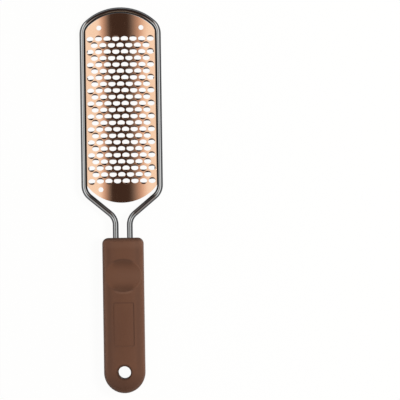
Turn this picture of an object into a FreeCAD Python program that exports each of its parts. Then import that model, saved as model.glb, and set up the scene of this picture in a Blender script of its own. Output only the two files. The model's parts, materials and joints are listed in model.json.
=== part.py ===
import FreeCAD, Part
import math
import os
import Sketcher
from FreeCAD import Placement, Rotation, Vector

# A foot file lying on its back: +Z is the working side, +Y runs from the handle to the head.
# The origin is under the middle of the whole tool. Lengths are in millimetres, angles in degrees.

doc = FreeCAD.newDocument("foot_file")
sheet = doc.addObject("Spreadsheet::Sheet", "Sizes")

driving = {
    "overall_length": 260.0,
    "cut_overrun": 2.0,
    # The bent wire, measured along its centre line except where a width is named.
    "wire_diameter": 4.0,
    "frame_width": 55.0,
    "top_arc_radius": 33.1,
    "bend_radius": 10.0,
    "splay_angle": 50.0,
    "prong_spacing": 9.5,
    "neck_length": 13.4,
    "set_down_run": 3.0,
    "set_down_radius": 60.0,
    "prong_depth": 52.0,
    "foot_bend_radius": 4.2,
    "foot_length": 2.0,
    # The arched plate with its holes and raised lips.
    "plate_length": 127.8,
    "plate_thickness": 0.6,
    "plate_arch_radius": 90.0,
    "plate_lap": 0.4,
    "plate_seat_clearance": 0.03,
    "plate_top_gap": 0.4,
    "plate_top_radius": 30.7,
    "plate_top_corner_radius": 8.0,
    "plate_bottom_radius": 29.5,
    "plate_bottom_corner_radius": 1.5,
    "tooth_top_margin": 17.2,
    "tooth_bottom_margin": 14.6,
    "tooth_side_margin": 3.1,
    "tooth_row_pitch": 4.36,
    "tooth_column_pitch": 5.86,
    "tooth_hole_width": 4.85,
    "tooth_hole_height": 3.2,
    "tooth_hole_end_radius": 1.2,
    "lip_edge_reach": 1.3,
    "lip_spread": 1.1,
    "lip_height": 0.7,
    "locating_hole_diameter": 3.3,
    "locating_hole_offset": 14.2,
    "locating_hole_top_inset": 9.8,
    "locating_hole_bottom_inset": 9.0,
    # The weld spots under the plate's long edges.
    "welds_per_side": 5.0,
    "weld_radius": 1.0,
    "weld_length": 3.0,
    "weld_drop": 0.62,
    # The moulded handle.
    "handle_length": 104.4,
    "handle_width": 27.8,
    "handle_thickness": 14.0,
    "crown_radius": 36.0,
    "mouth_corner_radius": 4.0,
    "front_edge_round": 3.0,
    "rear_edge_round": 3.5,
    "seam_chamfer": 0.2,
    "wall": 2.0,
    "mouth_wall": 4.0,
    "cavity_corner_radius": 1.5,
    "rib_thickness": 1.8,
    "rib_pitch": 15.0,
    "prong_clearance": 0.05,
    "hang_hole_diameter": 8.5,
    "hang_hole_rim": 0.9,
    "thumb_rest_from_mouth": 25.3,
    "thumb_rest_radius": 28.0,
    "thumb_rest_depth": 2.0,
    "panel_from_mouth": 58.2,
    "panel_width": 13.9,
    "panel_length": 29.6,
    "panel_depth": 0.35,
    "panel_corner_radius": 1.2,
    "peg_diameter": 2.4,
    "peg_length": 3.0,
    "peg_clearance": 0.05,
    "peg_boss_diameter": 4.8,
    "front_peg_from_mouth": 9.0,
    "rear_peg_from_mouth": 71.0,
}
for row, (alias, number) in enumerate(driving.items(), 1):
    sheet.set("A%d" % row, alias.replace("_", " "))
    sheet.set("B%d" % row, str(number))
    sheet.setAlias("B%d" % row, alias)
doc.recompute()


def size(alias):
    return float(sheet.get(alias))


def value_of(formula):
    for alias in sorted(driving, key=len, reverse=True):
        formula = formula.replace("Sizes." + alias, "(%.9f)" % size(alias))
    return FreeCAD.Units.parseQuantity(formula).Value


# Places along the handle, its parting height and the room inside its shells.
mouth = "(Sizes.handle_length - Sizes.overall_length / 2)"
hang = "(Sizes.handle_width / 2 - Sizes.overall_length / 2)"
parting = "(Sizes.handle_thickness / 2)"
front_room = "(Sizes.handle_thickness / 2 - Sizes.thumb_rest_depth - Sizes.wall)"
rear_room = "(Sizes.handle_thickness / 2 - Sizes.wall)"
peg_reach = "(Sizes.handle_width / 2 - Sizes.wall * 3 / 4 - Sizes.peg_boss_diameter / 2)"
front_peg = "(%s - Sizes.front_peg_from_mouth)" % mouth
rear_peg = "(%s - Sizes.rear_peg_from_mouth)" % mouth
foot_line = "(%s - Sizes.prong_depth)" % mouth


def new_body(name):
    return doc.addObject("PartDesign::Body", name)


def new_sketch(body, name, role, lift="0"):
    sketch = body.newObject("Sketcher::SketchObject", name)
    plane = [item for item in body.Origin.OriginFeatures if item.Role == role][0]
    sketch.AttachmentSupport = [(plane, "")]
    sketch.MapMode = "FlatFace"
    sketch.setExpression("AttachmentOffset.Base.z", lift)
    return sketch


def fix(sketch, kind, *place, formula):
    index = sketch.addConstraint(Sketcher.Constraint(kind, *place, value_of(formula)))
    sketch.setExpression("Constraints[%d]" % index, formula)


def add_line(sketch, x0, y0, x1, y1):
    return sketch.addGeometry(Part.LineSegment(Vector(x0, y0, 0), Vector(x1, y1, 0)))


def add_arc(sketch, x, y, radius, first, last):
    circle = Part.Circle(Vector(x, y, 0), Vector(0, 0, 1), radius)
    return sketch.addGeometry(Part.ArcOfCircle(circle, first, last))


def add_circle(sketch, x, y, diameter):
    spot = Vector(value_of(x), value_of(y), 0)
    item = sketch.addGeometry(Part.Circle(spot, Vector(0, 0, 1), value_of(diameter) / 2))
    if x == "0":
        sketch.addConstraint(Sketcher.Constraint("PointOnObject", item, 3, -2))
    else:
        fix(sketch, "DistanceX", item, 3, formula=x)
    fix(sketch, "DistanceY", item, 3, formula=y)
    fix(sketch, "Diameter", item, formula=diameter)


def add_rectangle(sketch, left, right, low, high):
    x0, x1, y0, y1 = [value_of(item) for item in (left, right, low, high)]
    sides = [
        add_line(sketch, x0, y0, x1, y0),
        add_line(sketch, x1, y0, x1, y1),
        add_line(sketch, x1, y1, x0, y1),
        add_line(sketch, x0, y1, x0, y0),
    ]
    for side, following in zip(sides, sides[1:] + sides[:1]):
        sketch.addConstraint(Sketcher.Constraint("Coincident", side, 2, following, 1))
    for side, kind in zip(sides, ("Horizontal", "Vertical", "Horizontal", "Vertical")):
        sketch.addConstraint(Sketcher.Constraint(kind, side))
    fix(sketch, "DistanceX", sides[0], 1, formula=left)
    fix(sketch, "DistanceX", sides[0], 2, formula=right)
    fix(sketch, "DistanceY", sides[0], 1, formula=low)
    fix(sketch, "DistanceY", sides[2], 1, formula=high)


def join_tangent(sketch, *pairs):
    for first, first_end, second, second_end in pairs:
        sketch.addConstraint(Sketcher.Constraint("Tangent", first, first_end, second, second_end))


def add_handle_outline(sketch, inset, mouth_inset, corner):
    half = "(Sizes.handle_width / 2 - %s)" % inset
    front = "(%s - %s)" % (mouth, mouth_inset)
    w, f, c, e = [value_of(item) for item in (half, front, corner, hang)]
    top = add_line(sketch, c - w, f, w - c, f)
    right_corner = add_arc(sketch, w - c, f - c, c, 0, math.pi / 2)
    right = add_line(sketch, w, f - c, w, e)
    end = add_arc(sketch, 0, e, w, math.pi, 2 * math.pi)
    left = add_line(sketch, -w, e, -w, f - c)
    left_corner = add_arc(sketch, c - w, f - c, c, math.pi / 2, math.pi)
    join_tangent(
        sketch,
        (top, 2, right_corner, 2),
        (right_corner, 1, right, 1),
        (right, 2, end, 2),
        (end, 1, left, 1),
        (left, 2, left_corner, 2),
        (left_corner, 1, top, 1),
    )
    sketch.addConstraint(Sketcher.Constraint("Horizontal", top))
    sketch.addConstraint(Sketcher.Constraint("Vertical", right))
    sketch.addConstraint(Sketcher.Constraint("Vertical", left))
    sketch.addConstraint(Sketcher.Constraint("PointOnObject", end, 3, -2))
    sketch.addConstraint(Sketcher.Constraint("Equal", left_corner, right_corner))
    fix(sketch, "DistanceY", end, 3, formula=hang)
    fix(sketch, "Radius", end, formula=half)
    fix(sketch, "Radius", right_corner, formula=corner)
    fix(sketch, "DistanceY", top, 1, formula=front)


def add_crown_section(sketch, radius, half, low, high):
    # What lies above a crown of this radius: an arc below, closed by two uprights and a flat top.
    r, w, z0, z1 = [value_of(item) for item in (radius, half, low, high)]
    rise = math.asin(w / r)
    z = z0 + math.sqrt(r * r - w * w)
    arc = add_arc(sketch, 0, z0, r, math.pi / 2 - rise, math.pi / 2 + rise)
    right = add_line(sketch, w, z, w, z1)
    top = add_line(sketch, w, z1, -w, z1)
    left = add_line(sketch, -w, z1, -w, z)
    for pair in ((arc, 1, right, 1), (right, 2, top, 1), (top, 2, left, 1), (left, 2, arc, 2)):
        sketch.addConstraint(Sketcher.Constraint("Coincident", *pair))
    sketch.addConstraint(Sketcher.Constraint("Vertical", right))
    sketch.addConstraint(Sketcher.Constraint("Horizontal", top))
    sketch.addConstraint(Sketcher.Constraint("Vertical", left))
    sketch.addConstraint(Sketcher.Constraint("PointOnObject", arc, 3, -2))
    fix(sketch, "DistanceY", arc, 3, formula=low)
    fix(sketch, "Radius", arc, formula=radius)
    fix(sketch, "DistanceX", right, 1, formula=half)
    fix(sketch, "DistanceX", left, 1, formula="-" + half)
    fix(sketch, "DistanceY", top, 1, formula=high)


def add_pad(body, name, sketch, length, reverse=False):
    pad = body.newObject("PartDesign::Pad", name)
    pad.Profile = sketch
    pad.Reversed = reverse
    pad.setExpression("Length", length)
    doc.recompute()
    return pad


def add_pocket(body, name, sketch, length=None, reverse=False, both_sides=False):
    before = body.Shape.Volume
    pocket = body.newObject("PartDesign::Pocket", name)
    pocket.Profile = sketch
    pocket.Reversed = reverse
    if both_sides:
        pocket.SideType = "Symmetric"
    if length:
        pocket.setExpression("Length", length)
    else:
        pocket.Type = "ThroughAll"
    doc.recompute()
    if body.Shape.Volume >= before:
        raise RuntimeError(name + " cuts nothing")
    return pocket


def dress(body, kind, name, edges, measure, formula):
    # Rounds or bevels the chosen edges of the body's last feature.
    base = body.Tip
    names = ["Edge%d" % i for i, edge in enumerate(base.Shape.Edges, 1) if edges(edge)]
    feature = body.newObject("PartDesign::" + kind, name)
    feature.Base = (base, names)
    feature.setExpression(measure, formula)
    doc.recompute()
    return feature


def lies_at(edge, height):
    box = edge.BoundBox
    slack = size("prong_clearance") / 10
    return abs(box.ZMin - height) < slack and abs(box.ZMax - height) < slack


def goes_round(edge, x, y, radius):
    # True where the whole edge keeps one distance from an upright axis.
    slack = size("prong_clearance") / 10
    spots = edge.discretize(5)
    return all(abs(math.hypot(spot.x - x, spot.y - y) - radius) < slack for spot in spots)


def edge_round(alias):
    # An edge's rounding stays inside the rounding of the outline's corners.
    outline_share = 0.9
    return "min(Sizes.%s; %s * Sizes.mouth_corner_radius)" % (alias, outline_share)


half_height = value_of(parting)
hang_y = value_of(hang)
hang_radius = size("hang_hole_diameter") / 2


def add_inside(body, room, reverse):
    # The cavity, and in it the ribs, the blocks that lock the prongs' feet, and the bosses.
    sketch = new_sketch(body, "cavity_outline", "XY_Plane", parting)
    add_handle_outline(sketch, "Sizes.wall", "Sizes.mouth_wall", "Sizes.cavity_corner_radius")
    add_pocket(body, "cavity", sketch, room, reverse=reverse)

    sketch = new_sketch(body, "rib_outlines", "XY_Plane", parting)
    reach = "((Sizes.handle_width - Sizes.wall) / 2)"
    for step in ("1", "2"):
        rib = "(%s - %s * Sizes.rib_pitch)" % (mouth, step)
        add_rectangle(sketch, "-" + reach, reach, rib + " - Sizes.rib_thickness", rib)
    block_low = foot_line + " - Sizes.wire_diameter / 2 - Sizes.wall"
    block_high = foot_line + " + Sizes.foot_bend_radius + Sizes.wall"
    add_rectangle(sketch, "-" + reach, reach, block_low, block_high)
    add_pad(body, "ribs", sketch, room, reverse=not reverse)

    sketch = new_sketch(body, "sleeve_outline", "XY_Plane", parting)
    add_circle(sketch, "0", hang, "(Sizes.hang_hole_diameter + 2 * Sizes.wall)")
    add_pad(body, "hang_hole_sleeve", sketch, room, reverse=not reverse)

    sketch = new_sketch(body, "boss_outlines", "XY_Plane", parting)
    for side in ("-", ""):
        for place in (front_peg, rear_peg):
            add_circle(sketch, side + peg_reach, place, "Sizes.peg_boss_diameter")
    add_pad(body, "bosses", sketch, room, reverse=not reverse)

    sketch = new_sketch(body, "hang_hole_outline", "XY_Plane", parting)
    add_circle(sketch, "0", hang, "Sizes.hang_hole_diameter")
    add_pocket(body, "hang_hole", sketch, both_sides=True)


# The front half of the handle: crowned, with the thumb rest and the bare label panel.
front = new_body("front_moulding")
outline = new_sketch(front, "outline", "XY_Plane", parting)
add_handle_outline(outline, "0", "0", "Sizes.mouth_corner_radius")
add_pad(front, "block", outline, parting)
dress(front, "Chamfer", "seam", lambda edge: lies_at(edge, half_height), "Size", "Sizes.seam_chamfer")

section = new_sketch(front, "crown_section", "XZ_Plane")
crown_half = "(Sizes.handle_width / 2 + Sizes.cut_overrun)"
crown_axis = "(Sizes.handle_thickness - Sizes.crown_radius)"
crown_high = "(Sizes.handle_thickness + Sizes.cut_overrun)"
add_crown_section(section, "Sizes.crown_radius", crown_half, crown_axis, crown_high)
add_pocket(front, "crown", section, both_sides=True)


def on_crown(edge):
    spots = edge.discretize(5)
    axis = value_of(crown_axis)
    slack = size("prong_clearance") / 10
    return all(abs(math.hypot(p.x, p.z - axis) - size("crown_radius")) < slack for p in spots)


dress(front, "Fillet", "front_edges", on_crown, "Radius", edge_round("front_edge_round"))

section = new_sketch(front, "thumb_rest_section", "YZ_Plane")
add_circle(
    section,
    "(%s - Sizes.thumb_rest_from_mouth)" % mouth,
    "(Sizes.handle_thickness - Sizes.thumb_rest_depth + Sizes.thumb_rest_radius)",
    "(2 * Sizes.thumb_rest_radius)",
)
add_pocket(front, "thumb_rest", section, both_sides=True)

section = new_sketch(front, "panel_section", "XZ_Plane", "-(%s - Sizes.panel_from_mouth)" % mouth)
panel_crown = "(Sizes.crown_radius - Sizes.panel_depth)"
add_crown_section(section, panel_crown, "(Sizes.panel_width / 2)", crown_axis, crown_high)
add_pocket(front, "panel", section, "Sizes.panel_length", both_sides=True)


def on_panel_corner(edge):
    box = edge.BoundBox
    slack = size("prong_clearance") / 10
    upright = box.XLength < slack and box.YLength < slack
    return upright and abs(abs(box.Center.x) - size("panel_width") / 2) < slack


dress(front, "Fillet", "panel_corners", on_panel_corner, "Radius", "Sizes.panel_corner_radius")
add_inside(front, front_room, True)


def on_front_rim(edge):
    return edge.BoundBox.ZMin > half_height + hang_radius / 2 and goes_round(edge, 0, hang_y, hang_radius)


dress(front, "Fillet", "hang_hole_rim", on_front_rim, "Radius", "Sizes.hang_hole_rim")

pegs = new_sketch(front, "peg_outlines", "XY_Plane", parting)
for side in ("-", ""):
    for place in (front_peg, rear_peg):
        add_circle(pegs, side + peg_reach, place, "Sizes.peg_diameter")
add_pad(front, "pegs", pegs, "Sizes.peg_length", reverse=True)

# The rear half of the handle, with the flat back that the tool lies on.
rear = new_body("rear_moulding")
outline = new_sketch(rear, "outline", "XY_Plane", parting)
add_handle_outline(outline, "0", "0", "Sizes.mouth_corner_radius")
add_pad(rear, "block", outline, parting, reverse=True)
dress(rear, "Chamfer", "seam", lambda edge: lies_at(edge, half_height), "Size", "Sizes.seam_chamfer")
rear_round = edge_round("rear_edge_round")
dress(rear, "Fillet", "rear_edges", lambda edge: lies_at(edge, 0), "Radius", rear_round)
add_inside(rear, rear_room, False)


def on_rear_rim(edge):
    return lies_at(edge, 0) and goes_round(edge, 0, hang_y, hang_radius)


dress(rear, "Fillet", "hang_hole_rim", on_rear_rim, "Radius", "Sizes.hang_hole_rim")

sockets = new_sketch(rear, "socket_outlines", "XY_Plane", parting)
socket_diameter = "(Sizes.peg_diameter + 2 * Sizes.peg_clearance)"
for side in ("-", ""):
    for place in (front_peg, rear_peg):
        add_circle(sockets, side + peg_reach, place, socket_diameter)
add_pocket(rear, "sockets", sockets, "(Sizes.peg_length + Sizes.peg_clearance)")

# The wire runs level inside the handle. Just outside it the prongs are set down a little, so that
# the head's far end comes to rest on the same surface as the handle's back.
wire_radius = size("wire_diameter") / 2
half_length = size("overall_length") / 2
mouth_y = value_of(mouth)
prong_x = size("prong_spacing") / 2
side_x = size("frame_width") / 2 - wire_radius
foot_y = mouth_y - size("prong_depth")
foot_x = prong_x + size("foot_bend_radius") + size("foot_length")
set_down_y = mouth_y + size("set_down_run")
drop = half_height - wire_radius
run = half_length - wire_radius - set_down_y
head_slope = math.atan2(drop, run)
head_top = math.hypot(drop, run)
head_place = Placement(
    Vector(0, set_down_y, half_height),
    Rotation(Vector(1, 0, 0), -math.degrees(head_slope)),
)


def on_head(x, y):
    return head_place.multVec(Vector(x, y, 0))


def rounded_run(points, radii):
    # Straight runs through the points, joined by tangent arcs.
    edges = []
    start = points[0]
    for before, corner, after, radius in zip(points, points[1:], points[2:], radii):
        back = (before - corner).normalize()
        ahead = (after - corner).normalize()
        half_turn = back.getAngle(ahead) / 2
        reach = radius / math.tan(half_turn)
        first = corner + back * reach
        last = corner + ahead * reach
        middle = corner + (back + ahead).normalize() * (radius / math.sin(half_turn) - radius)
        edges.append(Part.LineSegment(start, first).toShape())
        edges.append(Part.Arc(first, middle, last).toShape())
        start = last
    edges.append(Part.LineSegment(start, points[-1]).toShape())
    return edges


def mirrored(edges):
    return [edge.mirror(Vector(0, 0, 0), Vector(1, 0, 0)) for edge in edges]


def add_path(name, edges):
    path = doc.addObject("Part::Feature", name)
    path.Shape = Part.Wire(Part.__sortEdges__(edges))
    return path


def add_sweep(name, path, radius, start, ahead):
    ring = doc.addObject("Part::Circle", name + "_section")
    ring.setExpression("Radius", radius)
    ring.Placement = Placement(start, Rotation(Vector(0, 0, 1), ahead))
    sweep = doc.addObject("Part::Sweep", name)
    sweep.Sections = [ring]
    sweep.Spine = (path, ["Edge%d" % i for i in range(1, len(path.Shape.Edges) + 1)])
    sweep.Solid = True
    doc.recompute()
    return sweep


neck_y = size("neck_length") - size("set_down_run")
splay = math.radians(size("splay_angle"))
low_y = neck_y + (side_x - prong_x) / math.tan(splay)
arc_y = head_top - size("top_arc_radius")
shoulder_x = side_x - size("bend_radius")
shoulder_gap = size("top_arc_radius") - size("bend_radius")
shoulder_y = arc_y + math.sqrt(shoulder_gap ** 2 - shoulder_x ** 2)
side_run = rounded_run(
    [
        Vector(foot_x, foot_y, half_height),
        Vector(prong_x, foot_y, half_height),
        on_head(prong_x, 0),
        on_head(prong_x, neck_y),
        on_head(side_x, low_y),
        on_head(side_x, shoulder_y),
    ],
    [size("foot_bend_radius"), size("set_down_radius"), size("bend_radius"), size("bend_radius")],
)
lean = math.atan2(shoulder_x, shoulder_y - arc_y)
bend = size("bend_radius")
middle_lean = (lean + math.pi / 2) / 2
shoulder_end = on_head(shoulder_x + bend * math.sin(lean), shoulder_y + bend * math.cos(lean))
shoulder_middle = on_head(
    shoulder_x + bend * math.sin(middle_lean),
    shoulder_y + bend * math.cos(middle_lean),
)
shoulder = Part.Arc(on_head(side_x, shoulder_y), shoulder_middle, shoulder_end).toShape()
mirrored_end = Vector(-shoulder_end.x, shoulder_end.y, shoulder_end.z)
top_arc = Part.Arc(shoulder_end, on_head(0, head_top), mirrored_end).toShape()
half_run = side_run + [shoulder]
wire_path = add_path("wire_path", half_run + [top_arc] + mirrored(half_run))
wire_start = wire_path.Shape.OrderedVertexes[0].Point
wire_ahead = Vector(-1 if wire_start.x > 0 else 1, 0, 0)
wire = add_sweep("bent_wire", wire_path, "Sizes.wire_diameter / 2", wire_start, wire_ahead)
wire.Label = "wire_frame"
wire_volume = math.pi * wire_radius ** 2 * wire_path.Shape.Length
print("wire length %.2f, volume share %.5f" % (wire_path.Shape.Length, wire.Shape.Volume / wire_volume))

# The prongs' channels in both shells follow the wire with a small clearance.
channel_start = Vector(prong_x, mouth_y + size("cut_overrun"), half_height)
channel_path = add_path(
    "channel_path",
    rounded_run(
        [
            channel_start,
            Vector(prong_x, foot_y, half_height),
            Vector(foot_x + size("prong_clearance"), foot_y, half_height),
        ],
        [size("foot_bend_radius")],
    ),
)
channel_radius = "Sizes.wire_diameter / 2 + Sizes.prong_clearance"
right_channel = add_sweep("right_channel", channel_path, channel_radius, channel_start, Vector(0, -1, 0))
left_channel = doc.addObject("Part::Mirroring", "left_channel")
left_channel.Source = right_channel
left_channel.Normal = Vector(1, 0, 0)
channels = doc.addObject("Part::Compound", "channels")
channels.Links = [right_channel, left_channel]

front_shell = doc.addObject("Part::Cut", "front_shell")
front_shell.Base = front
front_shell.Tool = channels
front_shell.Label = "handle_front_shell"
rear_shell = doc.addObject("Part::Cut", "rear_shell")
rear_shell.Base = rear
rear_shell.Tool = channels
rear_shell.Label = "handle_rear_shell"
doc.recompute()

# The plate is drawn in the head's own frame, where the wire's centre lines lie in the plane z = 0.
# Its long edges lap onto the wire's inner flanks, and its arch stands above them.
edge_offset = "(Sizes.wire_diameter / 2 - Sizes.plate_lap)"
plate_half = "(Sizes.frame_width / 2 - Sizes.wire_diameter + Sizes.plate_lap)"
seat = "(sqrt((Sizes.wire_diameter / 2) ^ 2 - %s ^ 2) + Sizes.plate_seat_clearance)" % edge_offset
under_radius = "(Sizes.plate_arch_radius - Sizes.plate_thickness)"
arch_axis = "(%s - sqrt(%s ^ 2 - %s ^ 2))" % (seat, under_radius, plate_half)
half_plate = value_of(plate_half)
plate_top = head_top - wire_radius - size("plate_top_gap")
plate_bottom = plate_top - size("plate_length")

axis_z = value_of(arch_axis)
overrun = size("cut_overrun")
arch_radius = size("plate_arch_radius")


def plate_end(radius, corner, edge_y, facing):
    # One rounded end of the plate's outline, from its left edge to its right edge.
    centre_y = edge_y - facing * radius
    corner_x = half_plate - corner
    corner_y = centre_y + facing * math.sqrt((radius - corner) ** 2 - corner_x ** 2)
    tilt = math.atan2(corner_x, facing * (corner_y - centre_y))
    middle = (tilt + math.pi / 2) / 2
    meet = [corner_x + corner * math.sin(tilt), corner_y + facing * corner * math.cos(tilt)]
    bulge = [corner_x + corner * math.sin(middle), corner_y + facing * corner * math.cos(middle)]
    right = Part.Arc(
        Vector(half_plate, corner_y, 0), Vector(bulge[0], bulge[1], 0), Vector(meet[0], meet[1], 0)
    ).toShape()
    left = right.mirror(Vector(0, 0, 0), Vector(1, 0, 0))
    tip = Part.Arc(
        Vector(meet[0], meet[1], 0), Vector(0, edge_y, 0), Vector(-meet[0], meet[1], 0)
    ).toShape()
    return [left, tip, right], corner_y


top_edges, side_high = plate_end(size("plate_top_radius"), size("plate_top_corner_radius"), plate_top, 1)
bottom_edges, side_low = plate_end(
    size("plate_bottom_radius"), size("plate_bottom_corner_radius"), plate_bottom, -1
)
plate_sides = [
    Part.LineSegment(Vector(x, side_low, 0), Vector(x, side_high, 0)).toShape()
    for x in (-half_plate, half_plate)
]
arch_height = axis_z + size("plate_arch_radius") + size("lip_height")
outline_face = Part.Face(Part.Wire(Part.__sortEdges__(top_edges + bottom_edges + plate_sides)))
plate_outline = outline_face.extrude(Vector(0, 0, arch_height + overrun))
arch_start = Vector(0, plate_bottom - overrun, axis_z)
arch_length = size("plate_length") + 2 * overrun
top_side = Part.makeCylinder(arch_radius, arch_length, arch_start, Vector(0, 1, 0))
under_side = Part.makeCylinder(value_of(under_radius), arch_length, arch_start, Vector(0, 1, 0))
trimmed_sheet = top_side.cut(under_side).common(plate_outline)

# One tooth: an oval hole, flatter on one side, and there the raised lip, which is what the hole
# leaves of a low dome.
oval_half_width = size("tooth_hole_width") / 2
oval_half_height = size("tooth_hole_height") / 2
oval_end = size("tooth_hole_end_radius")
oval_side = (
    (oval_half_width ** 2 + oval_half_height ** 2 - 2 * oval_half_width * oval_end)
    / (2 * (oval_half_height - oval_end))
)
end_x = oval_half_width - oval_end
end_lean = math.atan2(end_x, oval_side - oval_half_height)
join_x = end_x + oval_end * math.sin(end_lean)
join_y = oval_end * math.cos(end_lean)
punch_z = arch_radius - size("plate_thickness") - overrun
corners = [Vector(join_x, join_y, punch_z), Vector(-join_x, join_y, punch_z)]
corners += [Vector(-join_x, -join_y, punch_z), Vector(join_x, -join_y, punch_z)]
lip_edge = size("lip_edge_reach")
bulges = [Vector(0, lip_edge, punch_z), Vector(-oval_half_width, 0, punch_z)]
bulges += [Vector(0, -oval_half_height, punch_z), Vector(oval_half_width, 0, punch_z)]
oval = Part.Wire(
    [
        Part.Arc(first, bulge, last).toShape()
        for first, bulge, last in zip(corners, bulges, corners[1:] + corners[:1])
    ]
)
hole_depth = size("plate_thickness") + size("lip_height") + 2 * overrun
punch = Part.Face(oval).extrude(Vector(0, 0, hole_depth))
dome_plan = lip_edge + size("lip_spread")
dome_sink = (dome_plan ** 2 - lip_edge ** 2 - size("lip_height") ** 2) / (2 * size("lip_height"))
dome_radius = math.hypot(dome_plan, dome_sink)
dome_half = Part.makeBox(
    2 * dome_radius, dome_radius, dome_radius,
    Vector(-dome_radius, 0, arch_radius - size("plate_thickness") / 2),
)
dome = Part.makeSphere(dome_radius, Vector(0, 0, arch_radius - dome_sink)).common(dome_half)

# Rows of teeth lie staggered over the arch. The lips face the head and the handle by turns.
tooth_span = size("plate_length") - size("tooth_top_margin") - size("tooth_bottom_margin")
tooth_rows = int(tooth_span / size("tooth_row_pitch")) + 1
wide_row = int(2 * (half_plate - size("tooth_side_margin")) / size("tooth_column_pitch")) + 1
lips = []
holes = []
for row in range(tooth_rows):
    row_count = wide_row - row % 2
    row_y = plate_top - size("tooth_top_margin") - row * size("tooth_row_pitch")
    for column in range(row_count):
        along = (column - (row_count - 1) / 2) * size("tooth_column_pitch")
        turn = Rotation(Vector(0, 1, 0), math.degrees(along / arch_radius))
        if (row + column) % 2 == 0:
            turn = turn.multiply(Rotation(Vector(0, 0, 1), 180))
        for pattern, tool in ((lips, dome), (holes, punch)):
            copy = tool.copy()
            copy.Placement = Placement(Vector(0, row_y, axis_z), turn)
            pattern.append(copy)
locating_spots = [
    (size("locating_hole_offset"), plate_top - size("locating_hole_top_inset")),
    (-size("locating_hole_offset"), plate_top - size("locating_hole_top_inset")),
    (-size("locating_hole_offset"), plate_bottom + size("locating_hole_bottom_inset")),
]
for x, y in locating_spots:
    depth = arch_height + overrun
    holes.append(Part.makeCylinder(size("locating_hole_diameter") / 2, depth, Vector(x, y, 0)))
plate = doc.addObject("Part::Feature", "toothed_plate")
lipped_sheet = trimmed_sheet.fuse(lips)
plate.Shape = lipped_sheet.cut(holes).Solids[0]
plate.Placement = head_place
plate.Label = "rasp_plate"
print("teeth %d in %d rows" % (len(lips), tooth_rows))

# The weld spots fill the corner between the plate's underside and the wire, along both long edges.
weld_x = half_plate - size("weld_radius")
weld_z = value_of(seat) - size("weld_drop")
weld_count = int(size("welds_per_side"))
spots = []
for side in (-1, 1):
    rail = Part.makeCylinder(
        wire_radius, size("overall_length"), Vector(side * side_x, 0, 0), Vector(0, 1, 0)
    )
    for place in range(weld_count):
        share = (place + 1 / 2) / weld_count
        y = side_low + share * (side_high - side_low) - size("weld_length") / 2
        spot = Part.makeCylinder(
            size("weld_radius"), size("weld_length"), Vector(side * weld_x, y, weld_z), Vector(0, 1, 0)
        )
        spots.append(spot.cut(rail).cut(trimmed_sheet))
welds = doc.addObject("Part::Feature", "weld_spots")
welds.Shape = Part.Compound(spots)
welds.Placement = head_place
welds.Label = "plate_welds"
print("welds", [len(spot.Solids) for spot in spots])

for item in doc.Objects:
    if "Invalid" in item.State or "Error" in item.State:
        raise RuntimeError("%s did not build" % item.Name)
pieces = {
    wire.Label: wire,
    plate.Label: plate,
    welds.Label: welds,
    front_shell.Label: front_shell,
    rear_shell.Label: rear_shell,
}
for label, piece in pieces.items():
    if piece.Shape.isNull() or not piece.Shape.isValid():
        raise RuntimeError("%s has no valid shape" % label)
    if any(solid.Volume <= 0 for solid in piece.Shape.Solids) or not piece.Shape.Solids:
        raise RuntimeError("%s has no solid" % label)
os.makedirs("parts", exist_ok=True)
for label, piece in pieces.items():
    piece.Shape.exportStep("parts/%s.step" % label)
    box = piece.Shape.BoundBox
    print(
        "%-20s solids %2d volume %9.1f  x %.2f..%.2f y %.2f..%.2f z %.2f..%.2f"
        % (label, len(piece.Shape.Solids), piece.Shape.Volume, box.XMin, box.XMax, box.YMin, box.YMax,
           box.ZMin, box.ZMax)
    )
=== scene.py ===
import json
import math

import bmesh
import bpy
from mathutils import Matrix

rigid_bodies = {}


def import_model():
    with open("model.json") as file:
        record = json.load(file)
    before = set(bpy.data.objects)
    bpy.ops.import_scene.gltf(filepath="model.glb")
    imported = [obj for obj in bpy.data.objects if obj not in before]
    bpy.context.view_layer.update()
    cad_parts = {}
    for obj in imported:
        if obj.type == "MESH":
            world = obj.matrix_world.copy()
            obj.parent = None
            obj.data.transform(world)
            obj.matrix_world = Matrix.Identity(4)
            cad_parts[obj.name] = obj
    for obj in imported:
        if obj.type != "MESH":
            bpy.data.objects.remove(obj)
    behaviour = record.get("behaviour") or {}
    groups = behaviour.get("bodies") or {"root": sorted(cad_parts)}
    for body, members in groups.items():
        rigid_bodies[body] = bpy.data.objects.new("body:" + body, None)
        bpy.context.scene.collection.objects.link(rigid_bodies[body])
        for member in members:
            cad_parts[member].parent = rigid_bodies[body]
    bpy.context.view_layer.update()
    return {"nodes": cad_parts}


for leftover in list(bpy.data.objects):    # what a new Blender file holds
    bpy.data.objects.remove(leftover)

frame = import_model()
nodes = frame["nodes"]
print("frame loaded:", ", ".join(sorted(nodes)))


# small helpers for node trees
def newTree(owner):
    owner.use_nodes = True
    tree = owner.node_tree
    tree.nodes.clear()
    return tree


def addNode(tree, kind, settings=None, **inputs):
    node = tree.nodes.new(kind)
    for name, value in (settings or {}).items():
        setattr(node, name, value)
    for name, value in inputs.items():
        setInput(tree, node, name, value)
    return node


# input0, input1 and so on go by place, any other name by its label
def setInput(tree, node, name, value):
    place = name.removeprefix("input")
    socket = node.inputs[int(place) if place.isdigit() else name.replace("_", " ")]
    if isinstance(value, bpy.types.NodeSocket):
        tree.links.new(value, socket)
    else:
        socket.default_value = value


def mathNode(tree, operation, first, second=0.0, clamp=False):
    node = addNode(tree, "ShaderNodeMath", {"operation": operation, "use_clamp": clamp},
                   input0=first, input1=second)
    return node.outputs[0]


def vectorNode(tree, operation, first, second=(0.0, 0.0, 0.0)):
    return addNode(tree, "ShaderNodeVectorMath", {"operation": operation}, input0=first, input1=second)


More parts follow.
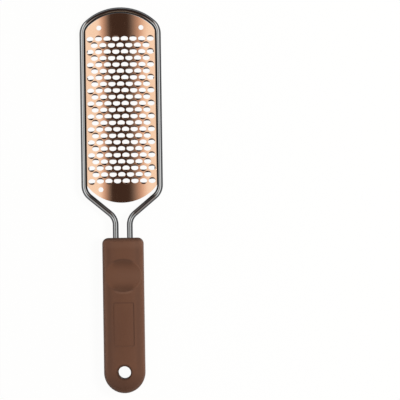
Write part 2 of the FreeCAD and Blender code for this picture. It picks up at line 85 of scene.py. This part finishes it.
def splitVector(tree, vector):
    node = addNode(tree, "ShaderNodeSeparateXYZ", Vector=vector)
    return [node.outputs[axis] for axis in "XYZ"]


def linearRange(tree, value, low, high, toLow=0.0, toHigh=1.0, curve="LINEAR"):
    node = addNode(tree, "ShaderNodeMapRange", {"interpolation_type": curve}, Value=value,
                   From_Min=low, From_Max=high, To_Min=toLow, To_Max=toHigh)
    return node.outputs["Result"]


def smoothRange(tree, value, low, high, toLow=0.0, toHigh=1.0):
    return linearRange(tree, value, low, high, toLow, toHigh, "SMOOTHSTEP")


def mixColour(tree, factor, first, second, blend="MIX"):
    node = addNode(tree, "ShaderNodeMix", {"data_type": "RGBA", "blend_type": blend},
                   input0=factor, input6=first, input7=second)
    return node.outputs[2]


def mixShaders(tree, factor, first, second):
    return addNode(tree, "ShaderNodeMixShader", input0=factor,
                   input1=first.outputs[0], input2=second.outputs[0])


def product(tree, *factors):
    total = factors[0]
    for factor in factors[1:]:
        total = mathNode(tree, "MULTIPLY", total, factor)
    return total


def largest(tree, *values):
    top = values[0]
    for value in values[1:]:
        top = mathNode(tree, "MAXIMUM", top, value)
    return top


def distance(tree, first, second):
    squares = mathNode(tree, "ADD", product(tree, first, first), product(tree, second, second))
    return mathNode(tree, "SQRT", squares)


# rises from start to full, falls from fade to end
def band(tree, value, limits):
    start, full, fade, end = limits
    rise = smoothRange(tree, value, start, full)
    return product(tree, rise, smoothRange(tree, value, fade, end, 1.0, 0.0))


def finishMaterial(tree, shader):
    addNode(tree, "ShaderNodeOutputMaterial", Surface=shader.outputs[0])


# camera, straight above the tool
cameraSetup = {
    "lens": 270.6,
    "place": (0.0523, -0.0009, 2.0320),
    "rollDegrees": -0.83,
    "clip": (0.01, 20.0),
}


def makeCamera(setup):
    data = bpy.data.cameras.new("overheadCamera")
    data.lens = setup["lens"]
    data.clip_start, data.clip_end = setup["clip"]
    camera = bpy.data.objects.new("overheadCamera", data)
    bpy.context.scene.collection.objects.link(camera)
    camera.location = setup["place"]
    camera.rotation_euler = (0.0, 0.0, math.radians(setup["rollDegrees"]))
    bpy.context.scene.camera = camera


makeCamera(cameraSetup)
print("camera set")

# studio: two long soft boxes left and right with a dark gap between them, and a pale backdrop
# the limits below are parts of a unit direction: x for gap and outer edge, z for the backdrop
studioSetup = {
    "gapCentre": -0.034,
    "gapLeft": (0.12, 0.345),        # from dark to bright
    "gapRight": (0.105, 0.44),
    "gapSpreadFrom": 0.26,           # beyond this y the gap widens towards both ends
    "gapSpreadRate": 0.72,
    "outerEdge": (0.63, 0.78),
    "boxLight": 1.06,
    "boxColour": (1.0, 0.99, 0.97, 1.0),
    "gapColour": (0.036, 0.019, 0.014, 1.0),
    "edgeColour": (1.0, 0.77, 0.68, 1.0),
    "backdropTop": (0.26, 0.50),     # from white to the boxes and the gap
    "backdropColour": (1.0, 1.0, 1.0, 1.0),
    "keyPower": 9.0,
    "keyPlace": (0.66, 0.05, 0.92),
    "keySize": 0.35,
    "floorHalf": 3.0,
    "floorDrop": 0.0002,
    "floorColour": (0.95, 0.95, 0.945, 1.0),
    "floorGlow": (1.0, 1.0, 0.995, 1.0),
    "floorWhite": 0.96,              # the rest of the floor keeps the shadow
}


def seenRays(tree):
    path = addNode(tree, "ShaderNodeLightPath")
    seen = mathNode(tree, "ADD", path.outputs["Is Camera Ray"], path.outputs["Is Glossy Ray"])
    return mathNode(tree, "ADD", seen, path.outputs["Is Transmission Ray"], clamp=True)


def boxMask(tree, x, y, setup):
    beyond = mathNode(tree, "SUBTRACT", mathNode(tree, "ABSOLUTE", y), setup["gapSpreadFrom"])
    spread = product(tree, largest(tree, beyond, 0.0), setup["gapSpreadRate"])
    across = mathNode(tree, "SUBTRACT", x, setup["gapCentre"])
    right = smoothRange(tree, mathNode(tree, "SUBTRACT", across, spread), *setup["gapRight"])
    back = product(tree, across, -1.0)
    left = smoothRange(tree, mathNode(tree, "SUBTRACT", back, spread), *setup["gapLeft"])
    outer = smoothRange(tree, mathNode(tree, "ABSOLUTE", x), *setup["outerEdge"], 1.0, 0.0)
    return product(tree, largest(tree, left, right), outer)


def makeWorld(setup):
    world = bpy.data.worlds.new("softBoxes")
    bpy.context.scene.world = world
    tree = newTree(world)
    coords = addNode(tree, "ShaderNodeTexCoord")
    x, y, z = splitVector(tree, coords.outputs["Generated"])
    lit = boxMask(tree, x, y, setup)
    colour = mixColour(tree, lit, setup["gapColour"], setup["boxColour"])
    fringe = product(tree, lit, mathNode(tree, "SUBTRACT", 1.0, lit), 4.0)    # 1 half-way to dark
    colour = mixColour(tree, fringe, colour, setup["edgeColour"], "MULTIPLY")
    boxes = addNode(tree, "ShaderNodeBackground", Color=colour, Strength=setup["boxLight"])
    backdrop = addNode(tree, "ShaderNodeBackground", Color=setup["backdropColour"], Strength=1.0)
    low = smoothRange(tree, z, *setup["backdropTop"], 1.0, 0.0)
    shader = mixShaders(tree, product(tree, low, seenRays(tree)), boxes, backdrop)
    addNode(tree, "ShaderNodeOutputWorld", Surface=shader.outputs[0])


def makeKeyLamp(setup):
    data = bpy.data.lights.new("keyLamp", "AREA")
    data.shape = "DISK"
    data.size = setup["keySize"]
    data.energy = setup["keyPower"]
    lamp = bpy.data.objects.new("keyLamp", data)
    bpy.context.scene.collection.objects.link(lamp)
    lamp.location = setup["keyPlace"]
    lamp.rotation_euler = lamp.location.to_track_quat("Z", "Y").to_euler()
    lamp.visible_glossy = False


def makePaleFloor(setup):
    material = bpy.data.materials.new("paleFloor")
    tree = newTree(material)
    diffuse = addNode(tree, "ShaderNodeBsdfDiffuse", Color=setup["floorColour"])
    glow = addNode(tree, "ShaderNodeEmission", Color=setup["floorGlow"], Strength=1.0)
    share = product(tree, seenRays(tree), setup["floorWhite"])
    finishMaterial(tree, mixShaders(tree, share, diffuse, glow))
    return material


def makeFloor(setup):
    mesh = bpy.data.meshes.new("paleFloor")
    floor = bpy.data.objects.new("paleFloor", mesh)
    bpy.context.scene.collection.objects.link(floor)
    sheet = bmesh.new()
    bmesh.ops.create_grid(sheet, x_segments=1, y_segments=1, size=setup["floorHalf"])
    bmesh.ops.translate(sheet, verts=sheet.verts, vec=(0.0, 0.0, -setup["floorDrop"]))
    sheet.to_mesh(mesh)
    sheet.free()
    mesh.materials.append(makePaleFloor(setup))


makeWorld(studioSetup)
makeKeyLamp(studioSetup)
makeFloor(studioSetup)
bpy.context.scene.view_settings.view_transform = "Standard"
print("studio set")

# shared effect: smudges and hair-line marks left by handling
marksSetup = {
    "smudgeDetail": 4.0,
    "smudgeRoughness": 0.55,
    "smudgeLimits": (0.38, 0.66),
    "lineStretch": (1.0, 0.06, 1.0),    # the lines run along y
    "lineDetail": 3.0,
    "lineRoughness": 0.6,
    "lineLimits": (0.56, 0.72),
}


def makeHandlingMarks(setup):
    group = bpy.data.node_groups.new("handlingMarks", "ShaderNodeTree")
    group.interface.new_socket("Vector", in_out="INPUT", socket_type="NodeSocketVector")
    group.interface.new_socket("Smudge Scale", in_out="INPUT", socket_type="NodeSocketFloat")
    group.interface.new_socket("Line Scale", in_out="INPUT", socket_type="NodeSocketFloat")
    group.interface.new_socket("Smudge", in_out="OUTPUT", socket_type="NodeSocketFloat")
    group.interface.new_socket("Lines", in_out="OUTPUT", socket_type="NodeSocketFloat")
    entry = addNode(group, "NodeGroupInput")
    smudge = addNode(group, "ShaderNodeTexNoise", Vector=entry.outputs["Vector"],
                     Scale=entry.outputs["Smudge Scale"], Detail=setup["smudgeDetail"],
                     Roughness=setup["smudgeRoughness"])
    stretched = addNode(group, "ShaderNodeMapping", Vector=entry.outputs["Vector"],
                        Scale=setup["lineStretch"])
    lines = addNode(group, "ShaderNodeTexNoise", Vector=stretched.outputs["Vector"],
                    Scale=entry.outputs["Line Scale"], Detail=setup["lineDetail"],
                    Roughness=setup["lineRoughness"])
    addNode(group, "NodeGroupOutput",
            Smudge=smoothRange(group, smudge.outputs["Fac"], *setup["smudgeLimits"]),
            Lines=smoothRange(group, lines.outputs["Fac"], *setup["lineLimits"]))
    return group


handlingMarks = makeHandlingMarks(marksSetup)


def placeMarks(tree, vector, smudgeScale, lineScale=0.0):
    node = addNode(tree, "ShaderNodeGroup", {"node_tree": handlingMarks}, Vector=vector,
                   Smudge_Scale=smudgeScale, Line_Scale=lineScale)
    return node.outputs


def giveMaterial(name, material):
    nodes[name].material_slots[0].material = material
    print("material", material.name, "on", name)


# rasp plate: rose-gold mirror, with painted dark reflection on the lip slopes and painted shade along
# the long edges
plateLook = {
    "copper": (0.885, 0.600, 0.420, 1.0),
    "copperDeep": (0.850, 0.560, 0.380, 1.0),
    "haze": 0.02,                    # share that scatters instead of mirroring
    "paintedSeamShade": (0.050, 0.040, 0.036, 1.0),
    "paintedSeamShadeFrom": (0.0003, 0.0008),    # distance from the long edges, from painted shade to bare
    "paintedLipReflection": (0.150, 0.086, 0.060, 1.0),
    "lipSlope": (0.22, 0.46),        # part of the normal along y, from bare to painted dark reflection
    "rough": (0.06, 0.13),
    "smudgeRough": 0.6,
    "smudgeScale": 45.0,
    "lineScale": 2200.0,
}


def makeRoseGold(look):
    material = bpy.data.materials.new("roseGoldMirror")
    tree = newTree(material)
    coords = addNode(tree, "ShaderNodeTexCoord")
    marks = placeMarks(tree, coords.outputs["Object"], look["smudgeScale"], look["lineScale"])
    colour = mixColour(tree, marks["Smudge"], look["copper"], look["copperDeep"])
    lengthways = splitVector(tree, coords.outputs["Normal"])[1]
    onLip = smoothRange(tree, mathNode(tree, "ABSOLUTE", lengthways), *look["lipSlope"])
    # painted dark reflection on the lip slopes, which face along y
    colour = mixColour(tree, onLip, colour, look["paintedLipReflection"])
    across = splitVector(tree, coords.outputs["Object"])[0]
    halfWidth = max(abs(vertex.co.x) for vertex in nodes["rasp_plate"].data.vertices)
    fromEdge = mathNode(tree, "SUBTRACT", halfWidth, mathNode(tree, "ABSOLUTE", across))
    # painted shade along the plate's long edges, where they meet the wire
    unshaded = smoothRange(tree, fromEdge, *look["paintedSeamShadeFrom"])
    colour = mixColour(tree, unshaded, look["paintedSeamShade"], colour)
    dull = largest(tree, product(tree, marks["Smudge"], look["smudgeRough"]), marks["Lines"])
    rough = linearRange(tree, dull, 0.0, 1.0, *look["rough"])
    finishMaterial(tree, addNode(tree, "ShaderNodeBsdfPrincipled", Base_Color=colour,
                                 Metallic=1.0 - look["haze"], Roughness=rough))
    return material


giveMaterial("rasp_plate", makeRoseGold(plateLook))

# wire frame: polished on top, with painted dark reflection on the flanks, on the bends and along the
# top of the prongs, and painted shade in the seam along the plate
wireLook = {
    "polished": (0.69, 0.76, 0.79, 1.0),
    "paintedDarkReflection": (0.060, 0.060, 0.063, 1.0),
    "flank": (0.76, 0.91),           # part of the normal along z, from painted dark reflection to polished
    "paintedBendReflection": (0.270, 0.300, 0.315, 1.0),
    "bends": (-0.0140, -0.0105, 0.0010, 0.0060),    # the splayed legs, along y, where dark reflection is painted
    "bendReflectionShare": 0.85,
    "prongs": (-0.0150, -0.0120),    # below this y a dark reflection line is painted along the top
    "paintedTopLine": (0.955, 0.990),
    "lineDark": 0.60,
    "paintedSeamShade": (0.030, 0.029, 0.030, 1.0),
    "headSpan": (0.0085, 0.0950),    # the stretch of the loop with straight sides, along y
    "headFrom": (-0.0060, 0.0020),
    "seam": (0.10, 0.55),            # part of the normal that looks inwards, from bare to painted shade
    "rough": (0.025, 0.085),
    "smudgeScale": 60.0,
    "lineScale": 1500.0,
}


# inner side of the loop, where the plate's edge lies against the wire and painted shade goes
def seamMask(tree, coords, along, look):
    low, high = look["headSpan"]
    nearest = addNode(tree, "ShaderNodeClamp", Value=along, Min=low, Max=high)
    middle = addNode(tree, "ShaderNodeCombineXYZ", Y=nearest.outputs["Result"])
    inwards = vectorNode(tree, "SUBTRACT", middle.outputs["Vector"], coords.outputs["Object"])
    level = vectorNode(tree, "MULTIPLY", inwards.outputs["Vector"], (1.0, 1.0, 0.0))
    direction = vectorNode(tree, "NORMALIZE", level.outputs["Vector"])
    facing = vectorNode(tree, "DOT_PRODUCT", direction.outputs["Vector"], coords.outputs["Normal"])
    seam = smoothRange(tree, facing.outputs["Value"], *look["seam"])
    return product(tree, seam, smoothRange(tree, along, *look["headFrom"]))


def makeWire(look):
    material = bpy.data.materials.new("brightWire")
    tree = newTree(material)
    coords = addNode(tree, "ShaderNodeTexCoord")
    marks = placeMarks(tree, coords.outputs["Object"], look["smudgeScale"], look["lineScale"])
    along = splitVector(tree, coords.outputs["Object"])[1]
    upwards = splitVector(tree, coords.outputs["Normal"])[2]
    # painted dark reflection on the splayed legs at the bends
    bends = product(tree, band(tree, along, look["bends"]), look["bendReflectionShare"])
    onProng = smoothRange(tree, along, *look["prongs"], 1.0, 0.0)
    # a painted dark reflection line along the top of the prongs
    paintedTopLine = product(tree, smoothRange(tree, upwards, *look["paintedTopLine"]), onProng, look["lineDark"])
    top = mixColour(tree, bends, look["polished"], look["paintedBendReflection"])
    top = mixColour(tree, paintedTopLine, top, look["paintedDarkReflection"])
    # painted dark reflection on the flanks, below the polished top
    colour = mixColour(tree, smoothRange(tree, upwards, *look["flank"]), look["paintedDarkReflection"], top)
    # painted shade in the seam on the inner side of the loop
    colour = mixColour(tree, seamMask(tree, coords, along, look), colour, look["paintedSeamShade"])
    dull = largest(tree, marks["Smudge"], marks["Lines"])
    rough = linearRange(tree, dull, 0.0, 1.0, *look["rough"])
    finishMaterial(tree, addNode(tree, "ShaderNodeBsdfPrincipled", Base_Color=colour,
                                 Metallic=1.0, Roughness=rough))
    return material


giveMaterial("wire_frame", makeWire(wireLook))

# weld spots: dull, with the tints that heat leaves
weldLook = {
    "straw": (0.42, 0.31, 0.17, 1.0),
    "blued": (0.15, 0.17, 0.23, 1.0),
    "rough": (0.30, 0.50),
    "smudgeScale": 420.0,
    "rippleScale": 1800.0,
    "rippleDetail": 2.0,
    "rippleDepth": 0.00006,
    "rippleStrength": 0.5,
}


def makeWeldTint(look):
    material = bpy.data.materials.new("weldTint")
    tree = newTree(material)
    coords = addNode(tree, "ShaderNodeTexCoord")
    tint = placeMarks(tree, coords.outputs["Object"], look["smudgeScale"])["Smudge"]
    colour = mixColour(tree, tint, look["straw"], look["blued"])
    rough = linearRange(tree, tint, 0.0, 1.0, *look["rough"])
    ripple = addNode(tree, "ShaderNodeTexNoise", Vector=coords.outputs["Object"],
                     Scale=look["rippleScale"], Detail=look["rippleDetail"])
    bump = addNode(tree, "ShaderNodeBump", Strength=look["rippleStrength"],
                   Distance=look["rippleDepth"], Height=ripple.outputs["Fac"])
    finishMaterial(tree, addNode(tree, "ShaderNodeBsdfPrincipled", Base_Color=colour, Metallic=1.0,
                                 Roughness=rough, Normal=bump.outputs["Normal"]))
    return material


giveMaterial("plate_welds", makeWeldTint(weldLook))

# handle shells: matte brown, with painted shade on the thumb rest, panel outline, hang hole, mouth and
# sides, painted light on the thumb rest, mouth and rounded edges, and darker towards the round end
handleLook = {
    "brown": (0.146, 0.064, 0.035, 1.0),
    "brownDeep": (0.133, 0.057, 0.031, 1.0),
    # colour for the painted shade and for the darkening towards the round end
    "darkBrown": (0.072, 0.032, 0.018, 1.0),
    # colour for the painted light and highlights
    "paintedLightBrown": (0.190, 0.096, 0.060, 1.0),
    "rough": (0.60, 0.50),           # clean, smudged
    "darkeningRough": 0.80,
    "frontFrom": (0.0095, 0.0105),   # height from which the marks of the front begin
    "edgeHighlightBand": (0.25, 0.80, 0.930, 0.968),    # part of the normal along z on the rounded edges
    "edgePaintedHighlight": (0.75, 0.05),        # left, right
    "lightSpan": 0.012,
    "restCentre": (-0.0509, 0.040),  # axis of the thumb rest's hollow, along y and z
    "restRadius": 0.028,
    "restSlack": (0.00025, 0.00050),
    "restSlope": (0.0035, 0.0105),
    "restWidth": (0.0045, 0.0090),
    "restPaintedShade": 0.70,
    "rimBand": (0.0001, 0.0003, 0.0006, 0.0010),
    "rimWidth": (0.0045, 0.0070),
    "rimPaintedHighlight": 0.55,
    "thumbReach": 0.0090,
    "thumbPaintedLight": (0.08, 0.48),       # left, right
    "mouthHighlightBand": (-0.0340, -0.0308, -0.0288, -0.0272),
    "mouthPaintedHighlight": 0.32,
    "mouthFade": (-0.0290, -0.0260),
    "mouthPaintedShade": 0.95,
    "sideBand": (0.0072, 0.0094, 0.0104, 0.0120),
    "sidePaintedShade": 0.26,
    "endFade": (-0.129, -0.110),
    "endDarkening": 0.80,
    "holeCentre": -0.1161,
    "holeRim": (0.0048, 0.0062),
    "holePaintedShade": 1.0,
    "panelCentre": -0.0838,
    "panelHalf": (0.00695, 0.0148),
    "panelCorner": 0.0012,
    "panelInset": 0.00025,
    "panelLine": (0.00015, 0.00050),
    "panelPaintedShade": (0.22, 0.60),       # lower left, upper right
    "panelSpan": 1.5,
    "smudgeScale": 38.0,
    "grainScale": 2600.0,
    "grainDetail": 2.0,
    "grainRoughness": 0.5,
    "grainDepth": 0.00003,
    "grainStrength": 0.12,
}


# painted shade towards both ends of the hollow, painted light in its middle, stronger on the right,
# and a painted highlight along its lower rim
def thumbRestMarks(tree, across, along, up, front, look):
    restY, restZ = look["restCentre"]
    offsetY = mathNode(tree, "SUBTRACT", along, restY)
    offsetZ = mathNode(tree, "SUBTRACT", up, restZ)
    outside = mathNode(tree, "SUBTRACT", distance(tree, offsetY, offsetZ), look["restRadius"])
    inHollow = smoothRange(tree, mathNode(tree, "ABSOLUTE", outside), *look["restSlack"], 1.0, 0.0)
    aside = mathNode(tree, "ABSOLUTE", across)
    fromMiddle = mathNode(tree, "ABSOLUTE", offsetY)
    slope = smoothRange(tree, fromMiddle, *look["restSlope"])
    middle = smoothRange(tree, aside, *look["restWidth"], 1.0, 0.0)
    # painted shade on the slopes of the hollow
    darkening = product(tree, inHollow, slope, middle, look["restPaintedShade"])
    # painted highlight just outside the lower rim
    below = mathNode(tree, "LESS_THAN", offsetY, 0.0)
    rimMiddle = smoothRange(tree, aside, *look["rimWidth"], 1.0, 0.0)
    rim = band(tree, outside, look["rimBand"])
    rimPaintedHighlight = product(tree, rim, below, rimMiddle, front, look["rimPaintedHighlight"])
    # painted light in the middle of the hollow, stronger on the right
    thumb = smoothRange(tree, fromMiddle, 0.0, look["thumbReach"], 1.0, 0.0)
    span = look["lightSpan"]
    amount = linearRange(tree, across, -span, span, *look["thumbPaintedLight"])
    thumbPaintedLight = product(tree, inHollow, thumb, front, amount)
    return inHollow, darkening, largest(tree, rimPaintedHighlight, thumbPaintedLight)


# a painted shade line just inside the panel's rounded outline, darker towards the upper right
def panelLineShade(tree, across, along, front, look):
    halfWidth, halfLength = look["panelHalf"]
    corner = look["panelCorner"]
    fromPanel = mathNode(tree, "SUBTRACT", along, look["panelCentre"])
    aside = mathNode(tree, "ABSOLUTE", across)
    sideGap = mathNode(tree, "SUBTRACT", aside, halfWidth - corner)
    endGap = mathNode(tree, "SUBTRACT", mathNode(tree, "ABSOLUTE", fromPanel), halfLength - corner)
    inside = mathNode(tree, "MINIMUM", largest(tree, sideGap, endGap), 0.0)
    beyond = distance(tree, largest(tree, sideGap, 0.0), largest(tree, endGap, 0.0))
    toEdge = mathNode(tree, "SUBTRACT", mathNode(tree, "ADD", inside, beyond), corner)
    offLine = mathNode(tree, "ABSOLUTE", mathNode(tree, "ADD", toEdge, look["panelInset"]))
    towards = mathNode(tree, "ADD", mathNode(tree, "DIVIDE", across, halfWidth),
                       mathNode(tree, "DIVIDE", fromPanel, halfLength))
    span = look["panelSpan"]
    amount = linearRange(tree, towards, -span, span, *look["panelPaintedShade"])
    return product(tree, smoothRange(tree, offLine, *look["panelLine"], 1.0, 0.0), front, amount)


def handleMarks(tree, coords, look):
    across, along, up = splitVector(tree, coords.outputs["Object"])
    front = smoothRange(tree, up, *look["frontFrom"])
    inHollow, restPaintedShade, restPaintedLight = thumbRestMarks(tree, across, along, up, front, look)
    panelPaintedShade = panelLineShade(tree, across, along, front, look)
    # painted highlight in a band near the mouth, and painted shade darker towards the mouth
    mouthPaintedHighlight = product(tree, band(tree, along, look["mouthHighlightBand"]), front, look["mouthPaintedHighlight"])
    mouthPaintedShade = smoothRange(tree, along, *look["mouthFade"], 0.0, look["mouthPaintedShade"])
    # darker towards the round end
    endDarkening = smoothRange(tree, along, *look["endFade"], look["endDarkening"], 0.0)
    # painted shade in a ring around the hang hole
    offsetY = mathNode(tree, "SUBTRACT", along, look["holeCentre"])
    fromHole = distance(tree, across, offsetY)
    holePaintedShade = smoothRange(tree, fromHole, *look["holeRim"], look["holePaintedShade"], 0.0)

    # painted shade in a band that follows the straight sides and the round end
    pastHole = mathNode(tree, "MINIMUM", offsetY, 0.0)
    sideBand = band(tree, distance(tree, across, pastHole), look["sideBand"])
    outOfRest = mathNode(tree, "SUBTRACT", 1.0, inHollow)
    sidePaintedShade = product(tree, sideBand, front, outOfRest, look["sidePaintedShade"])
    # painted shade on the thumb rest, panel, hang hole, mouth and sides, and the darkening towards the
    # round end
    darkening = largest(tree, restPaintedShade, panelPaintedShade, holePaintedShade, endDarkening, mouthPaintedShade, sidePaintedShade)

    # painted highlight on the rounded edges, stronger on the left, left out where the handle is
    # darkened
    facingUp = splitVector(tree, coords.outputs["Normal"])[2]
    span = look["lightSpan"]
    highlightAmount = linearRange(tree, across, -span, span, *look["edgePaintedHighlight"])
    undarkened = mathNode(tree, "SUBTRACT", 1.0, darkening)
    edgePaintedHighlight = product(tree, band(tree, facingUp, look["edgeHighlightBand"]), highlightAmount, undarkened)
    return darkening, largest(tree, restPaintedLight, mouthPaintedHighlight, edgePaintedHighlight)


def makeBrownMoulding(look):
    material = bpy.data.materials.new("brownMoulding")
    tree = newTree(material)
    coords = addNode(tree, "ShaderNodeTexCoord")
    smudge = placeMarks(tree, coords.outputs["Object"], look["smudgeScale"])["Smudge"]
    darkening, paintedLight = handleMarks(tree, coords, look)
    colour = mixColour(tree, smudge, look["brown"], look["brownDeep"])
    # painted shade and darkening first, then painted light
    colour = mixColour(tree, darkening, colour, look["darkBrown"])
    colour = mixColour(tree, paintedLight, colour, look["paintedLightBrown"])
    rough = linearRange(tree, smudge, 0.0, 1.0, *look["rough"])
    rough = largest(tree, rough, product(tree, darkening, look["darkeningRough"]))
    grain = addNode(tree, "ShaderNodeTexNoise", Vector=coords.outputs["Object"],
                    Scale=look["grainScale"], Detail=look["grainDetail"],
                    Roughness=look["grainRoughness"])
    bump = addNode(tree, "ShaderNodeBump", Strength=look["grainStrength"],
                   Distance=look["grainDepth"], Height=grain.outputs["Fac"])
    finishMaterial(tree, addNode(tree, "ShaderNodeBsdfPrincipled", Base_Color=colour,
                                 Roughness=rough, Normal=bump.outputs["Normal"]))
    return material


brownMaterial = makeBrownMoulding(handleLook)
giveMaterial("handle_front_shell", brownMaterial)
giveMaterial("handle_rear_shell", brownMaterial)
